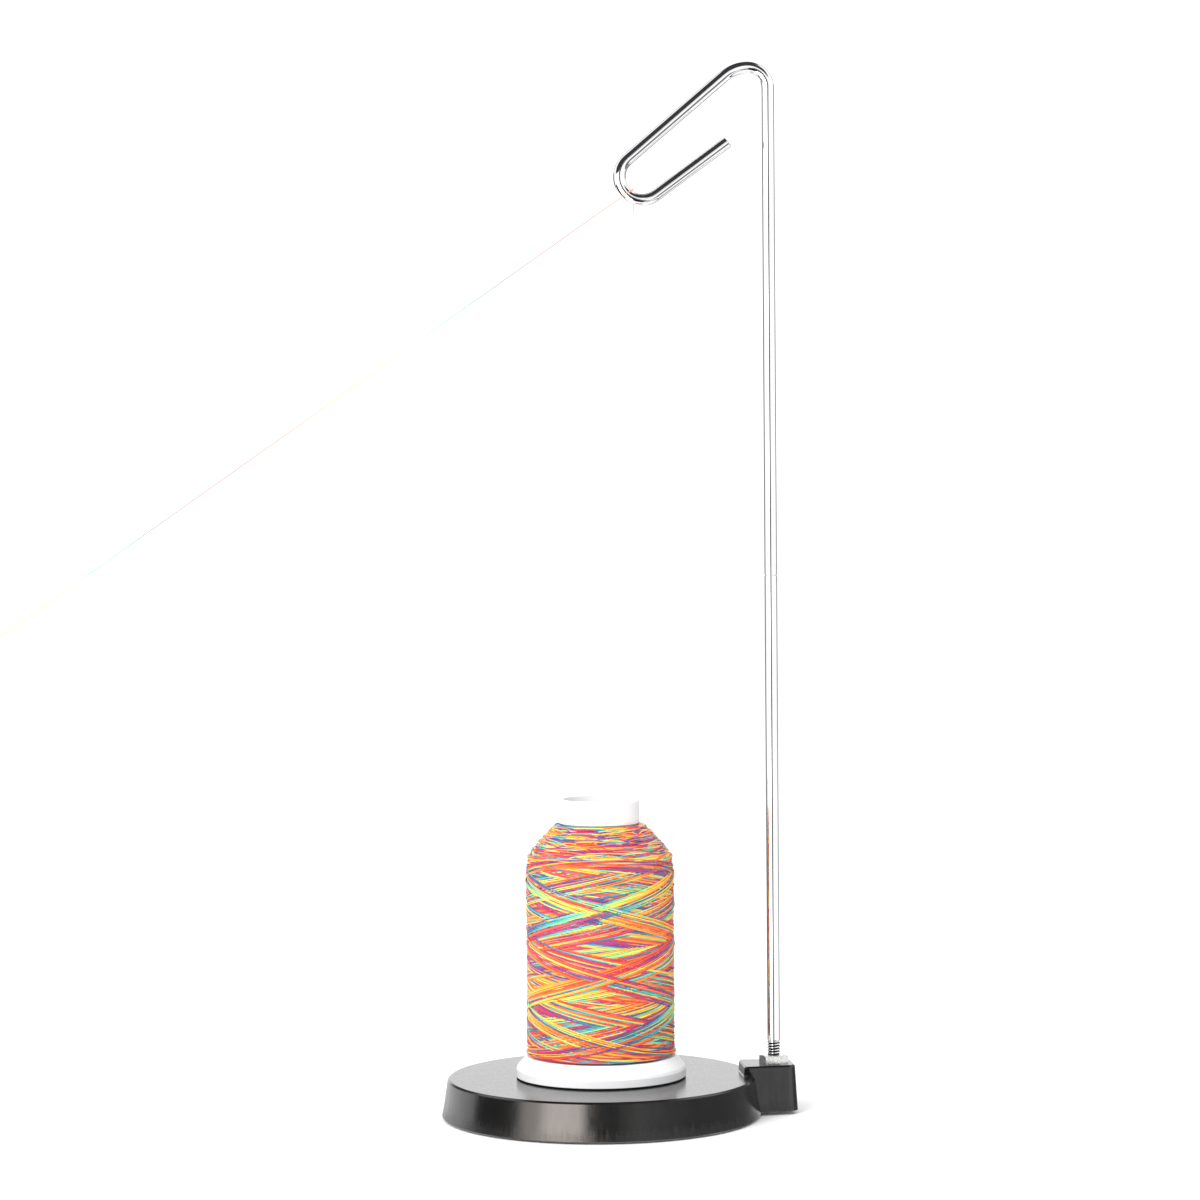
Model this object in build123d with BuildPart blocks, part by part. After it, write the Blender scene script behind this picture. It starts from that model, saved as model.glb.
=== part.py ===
# Thread rack: a round cast base with an upright spool pin, a two-piece wire guide
# with a hooked eye, and a cone of variegated thread led up through the eye.
# Millimetres, +Z up. The origin is under the middle of the base and the mast is on +X.
import math
import os

from build123d import *

os.makedirs("parts", exist_ok=True)

# Base plate
disc_foot_radius = 60.0
disc_top_radius = 57.75
casting_height = 14.4
disc_rim_chamfer = 0.7
disc_foot_chamfer = 0.5

# Pad glued into a shallow recess under the plate
pad_edge_inset = 5.0
pad_thickness = 1.0
pad_recess_depth = 0.5
pad_side_gap = 0.4

# Lug at the edge of the plate, which carries the mast, placed from the plate's top edge
mast_outset = 7.75
lug_lip_inset = 4.45
lug_outset = 15.15
lug_lip_half_width = 9.4
lug_outer_half_width = 7.2
lug_rise = 3.7
lug_foot_height = 1.0
lug_draft_angle = 3.5
lug_outer_corner_round = 3.2
lug_lip_corner_round = 1.5
lug_edge_chamfer = 0.6
lug_root_round = 0.6

# Wire stock and its thread, without the crests
wire_diameter = 4.76
thread_root_diameter = 3.9
thread_root_clearance = 0.05
thread_runout = 0.6
wire_end_chamfer = 0.35

# Spool pin, screwed into the middle of the plate
pin_exposed_length = 88.0
pin_engaged_length = 11.0
pin_top_chamfer = 1.2

# Mast: the lower rod, its stud and the upper rod with the hook
rod_foot_height = 3.2
rod_seam_height = 202.9
exposed_thread_length = 4.9
stud_diameter = 2.9
stud_length = 9.0
stud_clearance = 0.03
stud_bore_spare = 0.8
seam_chamfer = 0.25

# Hook: a tight bend off the mast, a wider one into the arm, then the eye bend
hook_apex_height = 393.4
mast_bend_radius = 7.5
mast_bend_angle = 90.0
arm_bend_radius = 14.2
arm_slope_angle = 40.5
arm_length = 47.9
eye_bend_radius = 8.5
free_arm_slope_angle = 36.3
free_arm_length = 33.9

# Hexagon lock nut
nut_across_flats = 9.525
nut_thickness = 3.175
nut_corner_chamfer = 0.5
nut_turn_angle = -11.0

# Felt under the cone
felt_radius = 30.4
felt_bore_radius = 3.3
felt_thickness = 0.6

# Cone core, a hollow moulding with a flange and a collar
flange_radius = 31.9
flange_rim_height = 3.4
flange_slope_height = 4.3
flange_rim_chamfer = 0.6
winding_foot_radius = 28.0
core_radius = 14.0
core_wall = 1.8
core_floor = 2.2
core_bore_radius = 3.3
flange_skirt_radius = 26.0
collar_step = 1.05
collar_height = 8.9
collar_chamfer = 0.7
collar_wall = 1.4
cone_height = 104.0

# Winding on the cone: a plain package under one layer of outer turns
winding_radius = 27.7
winding_shoulder_drop = 13.0
winding_head_radius = 17.0
turn_diameter = 2.5
turn_count = 16
turn_seat_gap = 0.02
turn_end_gap = 0.15
biarcs_per_turn = 2
turn_sides = 3
core_seat_gap = 0.02
gap_samples_per_turn = 24

# Free thread from the cone, round the eye and away to one side
thread_diameter = 0.35
thread_sides = 6
thread_side_gap = 0.3
thread_leave_height = 4.1
thread_wrap_gap = 0.3
wrap_spare = 0.1
wrap_point_angle = 233.0
rise_split_height = 262.0
rise_top_gap = 9.0
run_reach = 248.0
run_drop = 173.5
knot_diameter = 1.7
knot_length = 2.4
knot_tail_length = 1.5

# Levels and radii that follow from the sizes above
wire_radius = wire_diameter / 2
pad_radius = disc_foot_radius - pad_edge_inset
lug_lip_distance = disc_top_radius - lug_lip_inset
lug_outer_distance = disc_top_radius + lug_outset
mast_distance = disc_top_radius + mast_outset
thread_root_radius = thread_root_diameter / 2
tapped_radius = thread_root_radius + thread_root_clearance
casting_foot_z = pad_thickness - pad_recess_depth
disc_top_z = casting_foot_z + casting_height
lug_top_z = disc_top_z + lug_rise
lug_foot_z = casting_foot_z + lug_foot_height
nut_top_z = lug_top_z + nut_thickness
cone_foot_z = disc_top_z + felt_thickness
cone_top_z = cone_foot_z + cone_height
collar_radius = core_radius + collar_step
winding_foot_z = cone_foot_z + flange_rim_height + flange_slope_height
collar_foot_z = cone_top_z - collar_height
winding_head_z = collar_foot_z - core_seat_gap
shoulder_foot_z = collar_foot_z - winding_shoulder_drop


def is_lug_root(edge):
    """True for an edge where the lug stands on the plate's flat top."""
    middle = edge.position_at(0.5)
    reach = math.hypot(middle.X, middle.Y)
    return reach < disc_top_radius and abs(middle.Z - disc_top_z) < lug_root_round


# Base casting
with BuildPart() as base_casting:
    with BuildSketch(Plane.XZ):
        with BuildLine():
            Polyline(
                (0, pad_thickness),
                (pad_radius + pad_side_gap, pad_thickness),
                (pad_radius + pad_side_gap, casting_foot_z),
                (disc_foot_radius, casting_foot_z),
                (disc_top_radius, disc_top_z),
                (0, disc_top_z),
                close=True,
            )
        make_face()
    revolve(axis=Axis.Z)
    chamfer(base_casting.edges().filter_by(GeomType.CIRCLE).sort_by(Axis.Z)[-1], disc_rim_chamfer)
    foot_rings = base_casting.edges().filter_by(GeomType.CIRCLE).group_by(Axis.Z)[0]
    chamfer(foot_rings.sort_by(SortBy.RADIUS)[-1], disc_foot_chamfer)
    with BuildSketch(Plane.XY.offset(lug_top_z)) as lug_outline:
        with BuildLine():
            Polyline(
                (lug_lip_distance, -lug_lip_half_width),
                (lug_outer_distance, -lug_outer_half_width),
                (lug_outer_distance, lug_outer_half_width),
                (lug_lip_distance, lug_lip_half_width),
                close=True,
            )
        make_face()
        corners = lug_outline.vertices().group_by(Axis.X)
        fillet(corners[-1], lug_outer_corner_round)
        fillet(lug_outline.vertices().group_by(Axis.X)[0], lug_lip_corner_round)
    extrude(amount=lug_foot_z - lug_top_z, taper=-lug_draft_angle)
    roots = base_casting.edges(Select.NEW).filter_by(lambda edge: is_lug_root(edge))
    fillet(roots, lug_root_round)
    chamfer(base_casting.faces().sort_by(Axis.Z)[-1].edges(), lug_edge_chamfer)
    with Locations((0, 0, disc_top_z), (mast_distance, 0, lug_top_z)):
        Hole(tapped_radius)
base_casting.part.label = "base_casting"
export_step(base_casting.part, "parts/base_casting.step")

# Pad under the base
with BuildPart() as base_pad:
    with BuildSketch(Plane.XY):
        Circle(pad_radius)
    extrude(amount=pad_thickness)
base_pad.part.label = "base_pad"
export_step(base_pad.part, "parts/base_pad.step")

# Spool pin
pin_top_z = disc_top_z + pin_exposed_length
with BuildPart() as spool_pin:
    with BuildSketch(Plane.XZ):
        with BuildLine():
            Polyline(
                (0, disc_top_z - pin_engaged_length),
                (thread_root_radius, disc_top_z - pin_engaged_length),
                (thread_root_radius, disc_top_z),
                (wire_radius, disc_top_z),
                (wire_radius, pin_top_z),
                (0, pin_top_z),
                close=True,
            )
        make_face()
    revolve(axis=Axis.Z)
    chamfer(spool_pin.edges().sort_by(Axis.Z)[-1], pin_top_chamfer)
spool_pin.part.label = "spool_pin"
export_step(spool_pin.part, "parts/spool_pin.step")

# Lower half of the mast, threaded at its foot, with a stud at its head
thread_top_z = nut_top_z + exposed_thread_length
with BuildPart() as guide_rod_lower:
    with BuildSketch(Plane.XZ.move(Location((mast_distance, 0, 0)))):
        with BuildLine():
            Polyline(
                (0, rod_foot_height),
                (thread_root_radius, rod_foot_height),
                (thread_root_radius, thread_top_z),
                (wire_radius, thread_top_z + thread_runout),
                (wire_radius, rod_seam_height - seam_chamfer),
                (wire_radius - seam_chamfer, rod_seam_height),
                (stud_diameter / 2, rod_seam_height),
                (stud_diameter / 2, rod_seam_height + stud_length),
                (0, rod_seam_height + stud_length),
                close=True,
            )
        make_face()
    revolve(axis=Axis((mast_distance, 0, 0), (0, 0, 1)))
guide_rod_lower.part.label = "guide_rod_lower"
export_step(guide_rod_lower.part, "parts/guide_rod_lower.step")

# Upper half of the mast and the hook, one bent wire
bend_foot_z = hook_apex_height - mast_bend_radius
eye_turn_angle = 180 - arm_slope_angle + free_arm_slope_angle
with BuildPart() as guide_rod_upper:
    with BuildLine(Plane.XZ) as hook_line:
        mast_run = Line((mast_distance, rod_seam_height), (mast_distance, bend_foot_z))
        mast_bend = JernArc(mast_run @ 1, mast_run % 1, mast_bend_radius, mast_bend_angle)
        arm_bend = JernArc(mast_bend @ 1, mast_bend % 1, arm_bend_radius, arm_slope_angle)
        arm_run = PolarLine(arm_bend @ 1, arm_length, direction=arm_bend % 1)
        eye_bend = JernArc(arm_run @ 1, arm_run % 1, eye_bend_radius, eye_turn_angle)
        free_run = PolarLine(eye_bend @ 1, free_arm_length, direction=eye_bend % 1)
    with BuildSketch(Plane.XY.offset(rod_seam_height)):
        with Locations((mast_distance, 0)):
            Circle(wire_radius)
    sweep()
    ends = guide_rod_upper.edges().filter_by(GeomType.CIRCLE)
    tip_point = hook_line.line @ 1
    tip_edge = ends.sort_by(lambda edge: (edge.center() - tip_point).length)[0]
    chamfer(tip_edge, wire_end_chamfer)
    seam_edge = guide_rod_upper.edges().sort_by(Axis.Z)[0]
    chamfer(seam_edge, seam_chamfer)
    with BuildSketch(Plane.XY.offset(rod_seam_height)):
        with Locations((mast_distance, 0)):
            Circle(stud_diameter / 2 + stud_clearance)
    extrude(amount=stud_length + stud_bore_spare, mode=Mode.SUBTRACT)
guide_rod_upper.part.label = "guide_rod_upper"
export_step(guide_rod_upper.part, "parts/guide_rod_upper.step")

# Lock nut on the lug
nut_corner_radius = nut_across_flats / math.sqrt(3)
with BuildPart() as lock_nut:
    with BuildSketch(Plane.XY.offset(lug_top_z)):
        with Locations((mast_distance, 0)):
            RegularPolygon(nut_corner_radius, 6, rotation=nut_turn_angle)
    extrude(amount=nut_thickness)
    with BuildSketch(Plane.XZ.move(Location((mast_distance, 0, 0)))):
        with BuildLine():
            Polyline(
                (0, lug_top_z),
                (nut_corner_radius, lug_top_z),
                (nut_corner_radius, nut_top_z - nut_corner_chamfer),
                (nut_corner_radius - 2 * nut_corner_chamfer, nut_top_z),
                (0, nut_top_z),
                close=True,
            )
        make_face()
    revolve(axis=Axis((mast_distance, 0, 0), (0, 0, 1)), mode=Mode.INTERSECT)
    with Locations((mast_distance, 0, nut_top_z)):
        Hole(tapped_radius)
lock_nut.part.label = "lock_nut"
export_step(lock_nut.part, "parts/lock_nut.step")

# Felt between the base and the cone
with BuildPart() as spool_felt:
    with BuildSketch(Plane.XY.offset(disc_top_z)):
        Circle(felt_radius)
        Circle(felt_bore_radius, mode=Mode.SUBTRACT)
    extrude(amount=felt_thickness)
spool_felt.part.label = "spool_felt"
export_step(spool_felt.part, "parts/spool_felt.step")

# Hollow core of the cone
flange_rim_z = cone_foot_z + flange_rim_height
core_floor_z = cone_foot_z + core_floor
with BuildPart() as spool_core:
    with BuildSketch(Plane.XZ):
        with BuildLine():
            Polyline(
                (core_bore_radius, cone_foot_z),
                (core_radius, cone_foot_z),
                (core_radius, core_floor_z + core_wall),
                (flange_skirt_radius, core_floor_z + core_wall),
                (flange_radius - core_wall, cone_foot_z + core_wall),
                (flange_radius - core_wall, cone_foot_z),
                (flange_radius, cone_foot_z),
                (flange_radius, flange_rim_z),
                (winding_foot_radius, winding_foot_z),
                (core_radius, winding_foot_z),
                (core_radius, collar_foot_z),
                (collar_radius, collar_foot_z),
                (collar_radius, cone_top_z),
                (collar_radius - collar_wall, cone_top_z),
                (collar_radius - collar_wall, collar_foot_z),
                (core_radius - core_wall, collar_foot_z - core_wall),
                (core_radius - core_wall, core_floor_z),
                (core_bore_radius, core_floor_z),
                close=True,
            )
        make_face()
    revolve(axis=Axis.Z)
    outer_rings = spool_core.edges().filter_by(GeomType.CIRCLE)
    rim_ring = outer_rings.sort_by(SortBy.RADIUS).group_by(SortBy.RADIUS)[-1].sort_by(Axis.Z)[-1]
    chamfer(rim_ring, flange_rim_chamfer)
    collar_rings = spool_core.edges().group_by(Axis.Z)[-1].sort_by(SortBy.RADIUS)
    chamfer(collar_rings[-1], collar_chamfer)
spool_core.part.label = "spool_core"
export_step(spool_core.part, "parts/spool_core.step")

# Plain package of thread inside the outer turns
turn_radius = turn_diameter / 2
shoulder_run = winding_radius - winding_head_radius
shoulder_climb = winding_head_z - shoulder_foot_z
slope_stretch = math.hypot(shoulder_run, shoulder_climb) / shoulder_climb


def shoulder_radius(height, inset):
    """Radius of the shoulder slope at a height, moved inwards square to it by inset."""
    slope = shoulder_run / shoulder_climb
    return winding_radius - (height - shoulder_foot_z) * slope - inset * slope_stretch


def shoulder_height(radius, inset):
    """Height at which the shoulder slope, moved inwards by inset, has this radius."""
    slope = shoulder_run / shoulder_climb
    return shoulder_foot_z + (winding_radius - inset * slope_stretch - radius) / slope


package_inset = turn_diameter + turn_seat_gap
package_radius = winding_radius - package_inset
package_foot_z = winding_foot_z + core_seat_gap
package_head_radius = core_radius + core_wall / 2
package_head_z = shoulder_height(package_head_radius, package_inset)
with BuildPart() as thread_package:
    with BuildSketch(Plane.XZ):
        with BuildLine():
            Polyline(
                (core_radius + core_seat_gap, package_foot_z),
                (package_radius, package_foot_z),
                (package_radius, shoulder_height(package_radius, package_inset)),
                (package_head_radius, package_head_z),
                (core_radius + core_seat_gap, package_head_z),
                close=True,
            )
        make_face()
    revolve(axis=Axis.Z)
thread_package.part.label = "thread_package"
export_step(thread_package.part, "parts/thread_package.step")

# Outer layer of turns: one tube wound up the package and in over its shoulder
line_radius = winding_radius - turn_radius
line_foot_z = winding_foot_z + turn_radius + turn_end_gap
line_knee_z = shoulder_height(line_radius, turn_radius)
line_head_z = collar_foot_z - turn_radius - turn_end_gap
line_head_radius = shoulder_radius(line_head_z, turn_radius)
straight_length = line_knee_z - line_foot_z
slope_length = math.hypot(line_head_z - line_knee_z, line_radius - line_head_radius)
turn_pitch = (straight_length + slope_length) / turn_count


def winding_point(turns):
    """Centre of the wound tube after this many turns."""
    travel = turns * turn_pitch
    radius = line_radius
    height = line_foot_z + travel
    if travel > straight_length:
        slope_part = (travel - straight_length) / slope_length
        radius = line_radius + (line_head_radius - line_radius) * slope_part
        height = line_knee_z + (line_head_z - line_knee_z) * slope_part
    angle = turns * 2 * math.pi
    return Vector(radius * math.cos(angle), radius * math.sin(angle), height)


def winding_direction(turns):
    """Unit direction of the wound tube after this many turns."""
    step = 1 / 1000
    before = winding_point(max(turns - step, 0))
    after = winding_point(min(turns + step, turn_count))
    return (after - before).normalized()


def biarc_joint(start, start_direction, end, end_direction):
    """Point and direction where two arcs meet smoothly between two points with given directions."""
    chord = end - start
    sway = start_direction + end_direction
    square = 4 - sway.dot(sway)
    reach = (math.sqrt(chord.dot(sway) ** 2 + square * chord.dot(chord)) - chord.dot(sway)) / square
    first_corner = start + start_direction * reach
    second_corner = end - end_direction * reach
    return (first_corner + second_corner) / 2, second_corner - first_corner


with BuildPart() as thread_outer_turns:
    with BuildLine() as winding_line:
        foot_point = winding_point(0)
        foot_direction = winding_direction(0)
        foot_end = foot_point - foot_direction * turn_diameter
        Line(foot_end, foot_point)
        for index in range(turn_count * biarcs_per_turn):
            start = winding_point(index / biarcs_per_turn)
            end = winding_point((index + 1) / biarcs_per_turn)
            start_direction = winding_direction(index / biarcs_per_turn)
            end_direction = winding_direction((index + 1) / biarcs_per_turn)
            joint, joint_direction = biarc_joint(start, start_direction, end, end_direction)
            TangentArc(start, joint, tangent=start_direction)
            TangentArc(joint, end, tangent=joint_direction)
        Line(end, end + end_direction * turn_diameter)
    with BuildSketch(Plane(origin=foot_end, x_dir=(0, 0, 1), z_dir=foot_direction)):
        RegularPolygon(turn_radius, turn_sides)
    sweep(clean=False)
thread_outer_turns.part.label = "thread_outer_turns"
export_step(thread_outer_turns.part, "parts/thread_outer_turns.step")


def polygon_area(corner_radius, sides):
    """Area of a regular polygon."""
    return sides / 2 * corner_radius**2 * math.sin(2 * math.pi / sides)


def least_turn_gap(samples_per_turn):
    """Least gap between turns, measured on points along the tube's centre line."""
    count = turn_count * samples_per_turn
    points = [winding_point(index / samples_per_turn) for index in range(count + 1)]
    least = math.inf
    for index, point in enumerate(points):
        for other in points[index + samples_per_turn // 2 : index + 2 * samples_per_turn]:
            least = min(least, (other - point).length)
    return least - turn_diameter


turn_section = polygon_area(turn_radius, turn_sides)
winding_length = sum(edge.length for edge in winding_line.edges())
print("least gap between turns", round(least_turn_gap(gap_samples_per_turn), 3))
print("turns volume over section times length",
      round(thread_outer_turns.part.volume / (turn_section * winding_length), 4))


def thread_stretch(start, end):
    """A straight stretch of thread between two points."""
    direction = (end - start).normalized()
    with BuildPart() as stretch:
        with BuildSketch(Plane(origin=start, x_dir=(0, 1, 0), z_dir=direction)):
            RegularPolygon(thread_diameter / 2, thread_sides)
        extrude(amount=(end - start).length)
    return stretch.part


# Free thread: up from the cone, over the wire from behind, then away to the side
thread_radius = thread_diameter / 2
eye_centre_x = eye_bend.arc_center.X
eye_centre_z = eye_bend.arc_center.Z
wrap_reach = eye_bend_radius - wire_radius - thread_wrap_gap - thread_radius
wrap_bend_radius = wire_radius + thread_wrap_gap + thread_radius
wrap_half_width = wrap_bend_radius + wrap_spare
wrap_x = eye_centre_x + wrap_reach * math.cos(math.radians(wrap_point_angle))
wrap_z = eye_centre_z + wrap_reach * math.sin(math.radians(wrap_point_angle))
rise_foot_radius = winding_radius + thread_side_gap + thread_radius
rise_foot = Vector(rise_foot_radius, 0, shoulder_foot_z + thread_leave_height)
wrap_back = Vector(wrap_x, wrap_half_width, wrap_z)
wrap_front = Vector(wrap_x, -wrap_half_width, wrap_z)
run_end = Vector(wrap_x - run_reach, -wrap_half_width, wrap_z - run_drop)
rise = wrap_back - rise_foot
rise_split = rise_foot + rise * ((rise_split_height - rise_foot.Z) / rise.Z)
rise_head = wrap_back - rise * (rise_top_gap / rise.Z)

for label, start, end in (
    ("thread_rise_lower", rise_foot, rise_split),
    ("thread_rise_upper", rise_split, rise_head),
):
    stretch = thread_stretch(start, end)
    stretch.label = label
    export_step(stretch, "parts/" + label + ".step")

rise_direction = rise.normalized()
bend_radii = [wrap_bend_radius, wrap_bend_radius]
with BuildPart() as thread_run:
    with BuildLine() as run_line:
        FilletPolyline(rise_head, wrap_back, wrap_front, run_end, radius=bend_radii)
    with BuildSketch(Plane(origin=rise_head, x_dir=(0, 1, 0), z_dir=rise_direction)):
        RegularPolygon(thread_radius, thread_sides)
    sweep()
thread_run.part.label = "thread_run"
export_step(thread_run.part, "parts/thread_run.step")
run_length = sum(edge.length for edge in run_line.edges())
print("radii of the thread's bends", bend_radii)
print("run volume over section times length",
      round(thread_run.part.volume / (polygon_area(thread_radius, thread_sides) * run_length), 4))
print("free thread length", round((rise_head - rise_foot).length + run_length, 1))

# Knot that closes the thread's end
run_direction = (run_end - wrap_front).normalized()
knot_sections = (
    (0, thread_radius),
    (knot_length / 3, knot_diameter / 2),
    (2 * knot_length / 3, knot_diameter / 2),
    (knot_length, thread_radius),
    (knot_length + knot_tail_length, thread_radius),
)
with BuildPart() as thread_knot:
    for travel, radius in knot_sections:
        section_plane = Plane(origin=run_end + run_direction * travel, x_dir=(0, 1, 0), z_dir=run_direction)
        with BuildSketch(section_plane):
            RegularPolygon(radius, thread_sides)
    loft(ruled=True)
thread_knot.part.label = "thread_knot"
export_step(thread_knot.part, "parts/thread_knot.step")
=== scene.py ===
import math

import bpy
import numpy as np
from mathutils import Matrix, Vector


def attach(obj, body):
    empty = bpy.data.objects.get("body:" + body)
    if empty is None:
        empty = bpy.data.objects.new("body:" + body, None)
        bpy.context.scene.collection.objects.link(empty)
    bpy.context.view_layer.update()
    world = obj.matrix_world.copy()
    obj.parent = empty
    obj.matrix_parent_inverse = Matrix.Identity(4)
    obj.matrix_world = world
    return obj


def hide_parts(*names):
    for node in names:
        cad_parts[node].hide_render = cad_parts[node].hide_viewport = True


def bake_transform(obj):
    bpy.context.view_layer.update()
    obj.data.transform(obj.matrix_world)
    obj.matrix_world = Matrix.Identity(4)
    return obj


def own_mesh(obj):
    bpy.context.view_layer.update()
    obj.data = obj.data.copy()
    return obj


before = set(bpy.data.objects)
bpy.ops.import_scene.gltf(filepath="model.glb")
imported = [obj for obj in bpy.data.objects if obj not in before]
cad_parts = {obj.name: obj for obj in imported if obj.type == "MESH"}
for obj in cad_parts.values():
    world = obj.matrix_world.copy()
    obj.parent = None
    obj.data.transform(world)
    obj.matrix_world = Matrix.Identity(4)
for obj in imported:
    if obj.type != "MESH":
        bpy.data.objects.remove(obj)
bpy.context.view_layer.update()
MM = 0.001

# Camera, in a frame turned about Z so that it looks along that frame's Y
VIEW_TURN = math.radians(5.0)
CAMERA_PLACE = (0.000879, -1.28255, 0.23012)
CAMERA_PITCH = -0.028
CAMERA_ROLL = -0.0077
CAMERA_LENS = 102.62
SENSOR_WIDTH = 36.0
CLIP_START = 0.05
CLIP_END = 60.0

# Key light, placed in the same turned frame
KEY_PLACE = (-0.75, -1.1, 1.0)
KEY_AIM = (0.0, 0.0, 0.12)
KEY_POWER = 24.0
KEY_SIZE = 1.1

# Free thread: up from the cone, over the wire of the hook, and away to the left
RISE_FOOT = (0.028175, 0.0, 0.1017)
WRAP_BACK = (0.0144775, 0.002955, 0.3479175)
RISE_SPLIT_HEIGHT = 0.262
RISE_TOP_GAP = 0.009
RUN_REACH = 0.248
RUN_DROP = 0.1735
THREAD_DIAMETER = 0.35 * MM
NEAR_HOOK = 6 * THREAD_DIAMETER
PLY_COUNT = 3
PLY_LAY = 1.9 * MM
PLY_DEPTH = 0.17
THREAD_SIDES = 9
# A direction that no stretch of the thread starts in, to work out its first side from
OFF_THREAD = (0.3, 0.9, 0.1)
THREAD_RING_STEP = 0.16 * MM

# Knot at the thread's end
KNOT_RADIUS = 0.62 * MM
KNOT_STRAND_RADIUS = 0.2 * MM
KNOT_LENGTH = 2.4 * MM
KNOT_TAIL = 1.4 * MM
KNOT_TAIL_BEND = 0.4
KNOT_TURNS = 2.5
KNOT_STEPS = 60
KNOT_FULLNESS = 0.35
KNOT_ADVANCE = 0.9
KNOT_SWAY = 0.1
KNOT_SWAYS = 2
KNOT_SIDES = 8
KNOT_RING_STEP = 0.12 * MM
ROUTE_ORDER = 3
ROUTE_RESOLUTION = 32

# Winding: its outline as (radius, height), and its strands, in millimetres
WINDING_OUTLINE = (
    (27.3, 23.3), (27.5, 24.6), (27.55, 60.0), (27.5, 88.0), (27.3, 94.0), (26.8, 97.6),
    (26.0, 99.8), (25.0, 101.2), (20.65, 106.0), (16.3, 110.35),
)
OUTLINE_STEP = 0.12
OUTLINE_SMOOTH = 13
ROUND_CELLS = 720
BLUR_CELLS = (3, 6)
BLUR_PASSES = 3
BED_AROUND = 180
BED_ROWS = 120
STRAND_RADIUS = 0.19
# A strand's section as (across, up), flattened by the strands over and under it
STRAND_SECTION = ((-0.215, -0.09), (0.215, -0.09), (0.115, 0.1), (-0.115, 0.1))
STRAND_SAMPLE = 0.25
STRAND_SINK = 0.62
LIFT_KEEP = 0.42
BED_SINK = 0.26
SIDE_RADIUS = 27.5
SIDE_LOW = 1.1
SIDE_HIGH = 74.6
END_SPREAD = (0.8, 1.9)
END_SHARPNESS = 6
STRAND_WANDER = 0.1
WANDERS_A_PASS = 6
STEP_SLIP = 0.05
COLOUR_SLIP = 19.0
COLOUR_SLIPS_A_PASS = 2
SIDE_MARGINS = (0.15, 0.2)
# Each session: name, passes, turns in a pass, step in strands, rounding of the ends, ring step
SIDE_SESSIONS = (
    ("winding_inner", 46, 7.4, 0.2, 0.08, 3.0),
    ("winding_middle", 44, 5.3333, 0.3333, 0.12, 2.25),
    ("winding_upper", 32, 4.5, 0.5, 0.14, 2.0),
    ("winding_outer", 26, 3.5, 0.5, 0.16, 2.0),
)
SHOULDER_TURN = 2
SHOULDER_ARCS = 780
SHOULDER_LOW = 73.5
SHOULDER_HEAD_GAP = 0.25
SHOULDER_MARGINS = (0.2, 0.15)
SHOULDER_RING_STEP = 1.75
ARC_HALF_LENGTHS = (3.0, 9.0)
ARC_SLOPE = 0.05
ARC_SAG = 0.7
ARC_DIVE = 0.9
ARC_REACH = 3
CORE_RADIUS = 14.05
SEED = 7

# Colour along the thread, in millimetres, and how far the free thread is paled towards white, as painted
# light that washes it out
COLOUR_REPEAT = 156.0
COLOUR_WANDER_SCALE = 0.013
TWIST_LENGTH = 0.62
RISE_LIGHT_WASH = 0.6
RUN_LIGHT_WASH = 0.25
TAUT_START = -0.34

# Enamel: the lean of its upright sides for what they mirror, and its worn foot
SIDE_LEAN = -0.35
LEAN_FADE = (0.25, 0.5)
WORN_HEIGHT = 1.5 * MM
WORN_RAGGEDNESS = 6 * MM
WORN_FADE = (-1.5 * MM, 3 * MM)
WORN_ROUGHNESS = 0.1


def link(obj):
    bpy.context.scene.collection.objects.link(obj)
    return obj


def mesh_object(name, points, *face_sets, smooth=True):
    """A mesh object from points in metres and sets of faces, each set an array of equally long faces."""
    data = bpy.data.meshes.new(name)
    points = np.asarray(points, np.float32)
    face_sets = [np.asarray(faces, np.int32) for faces in face_sets]
    corners = np.concatenate([faces.ravel() for faces in face_sets])
    sizes = np.concatenate([np.full(len(faces), faces.shape[1]) for faces in face_sets])
    starts = np.concatenate([[0], np.cumsum(sizes)[:-1]])
    data.vertices.add(len(points))
    data.vertices.foreach_set("co", points.ravel())
    data.loops.add(len(corners))
    data.loops.foreach_set("vertex_index", corners)
    data.polygons.add(len(sizes))
    data.polygons.foreach_set("loop_start", starts.astype(np.int32))
    data.polygons.foreach_set("use_smooth", np.full(len(sizes), smooth))
    data.update(calc_edges=True)
    data.validate()
    return link(bpy.data.objects.new(name, data))


def point_attribute(obj, name, values):
    layer = obj.data.attributes.new(name, "FLOAT", "POINT")
    layer.data.foreach_set("value", np.asarray(values, np.float32))


# Camera
def make_camera():
    data = bpy.data.cameras.new("camera")
    data.lens = CAMERA_LENS
    data.sensor_width = SENSOR_WIDTH
    data.clip_start = CLIP_START
    data.clip_end = CLIP_END
    back = Vector((0, -math.cos(CAMERA_PITCH), -math.sin(CAMERA_PITCH)))
    level_right = Vector((1, 0, 0))
    level_up = Vector((0, -math.sin(CAMERA_PITCH), math.cos(CAMERA_PITCH)))
    right = math.cos(CAMERA_ROLL) * level_right + math.sin(CAMERA_ROLL) * level_up
    up = math.cos(CAMERA_ROLL) * level_up - math.sin(CAMERA_ROLL) * level_right
    turn = Matrix.Rotation(-VIEW_TURN, 3, "Z")
    basis = turn @ Matrix((right, up, back)).transposed()
    camera = link(bpy.data.objects.new("camera", data))
    camera.matrix_world = Matrix.Translation(turn @ Vector(CAMERA_PLACE)) @ basis.to_4x4()
    bpy.context.scene.camera = camera


make_camera()


# Free thread
def on_rise(height):
    """The point of the straight rise at that height, to a tenth of a micrometre."""
    share = (height - RISE_FOOT[2]) / (WRAP_BACK[2] - RISE_FOOT[2])
    return tuple(round(foot + (head - foot) * share, 7) for foot, head in zip(RISE_FOOT, WRAP_BACK))


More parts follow.
